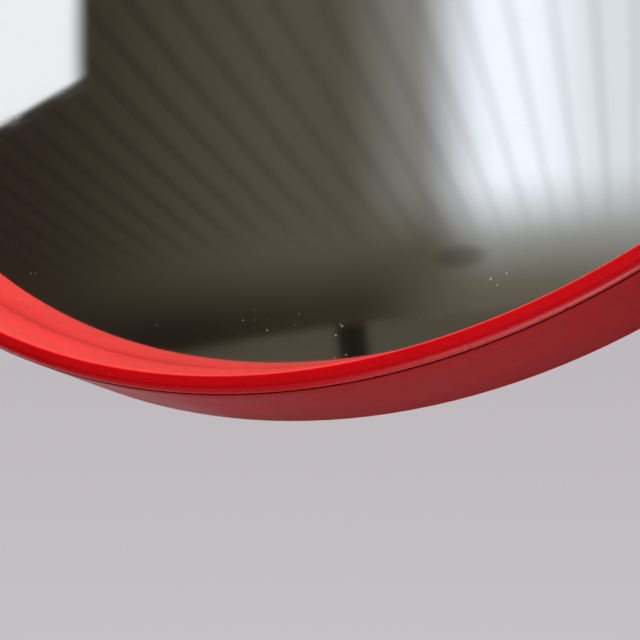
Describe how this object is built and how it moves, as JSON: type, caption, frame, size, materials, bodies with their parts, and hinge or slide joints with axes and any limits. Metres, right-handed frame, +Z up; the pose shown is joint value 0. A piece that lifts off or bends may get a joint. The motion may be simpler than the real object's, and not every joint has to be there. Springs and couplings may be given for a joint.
{
  "type": "traffic convex mirror",
  "caption": "Round convex safety mirror in a deep red moulded rim, hinged at its foot to a steel wall plate and held at its tilt by a slotted stay.",
  "frame": {"origin": "on the wall, at the back face of the wall plate, behind the mirror's centre", "axes": "+Z up, +Y into the wall, so the mirror faces -Y, and +X to the right as seen from the front"},
  "size_m": [0.6138, 0.0632, 0.6138],
  "materials": {
    "red_rim": "satin moulded red plastic",
    "red_housing": "satin moulded red plastic",
    "mirror": "silvered acrylic, lightly dusty",
    "black_rubber": "matte",
    "zinc_steel": "zinc coated, satin",
    "pin_steel": "bright",
    "screw_steel": "bright zinc"
  },
  "bodies": {
    "wall_mount": {"wall_plate": "zinc_steel", "stay_pivot_pin": "pin_steel", "stay_pivot_clip": "pin_steel", "pivot_washer_left": "zinc_steel", "pivot_washer_right": "zinc_steel"},
    "head": {"front_ring": "red_rim", "rear_housing": "red_housing", "mirror_lens": "mirror", "lens_gasket": "black_rubber", "centre_pad": "black_rubber", "slot_bracket": "zinc_steel", "housing_screw_1": "screw_steel", "housing_screw_2": "screw_steel", "housing_screw_3": "screw_steel", "housing_screw_4": "screw_steel", "housing_screw_5": "screw_steel", "housing_screw_6": "screw_steel", "housing_screw_7": "screw_steel", "housing_screw_8": "screw_steel", "bracket_screw_1": "screw_steel", "bracket_screw_2": "screw_steel", "bracket_screw_3": "screw_steel", "bracket_screw_4": "screw_steel", "wall_bumper_left": "black_rubber", "wall_bumper_right": "black_rubber", "drain_plug_left": "black_rubber", "drain_plug_right": "black_rubber", "hinge_pin": "pin_steel", "hinge_clip": "pin_steel"},
    "stay": {"stay_arm": "zinc_steel", "slot_pin": "pin_steel", "lock_nut": "screw_steel", "friction_washer_left": "black_rubber", "friction_washer_right": "black_rubber", "arm_spacer_left": "zinc_steel", "arm_spacer_right": "zinc_steel"}
  },
  "joints": [
    {"name": "tilt", "type": "hinge", "parent": "wall_mount", "child": "head", "pos_m": [0, -0.011, -0.295], "axis": [1, 0, 0], "range_deg": [0, 12]},
    {"name": "stay_swing", "type": "hinge", "parent": "wall_mount", "child": "stay", "pos_m": [0, -0.011, -0.145], "axis": [1, 0, 0], "range_deg": [0, 24]}
  ],
  "couplings": [
    {"joint": "stay_swing", "follows": "tilt", "ratio": 2}
  ]
}
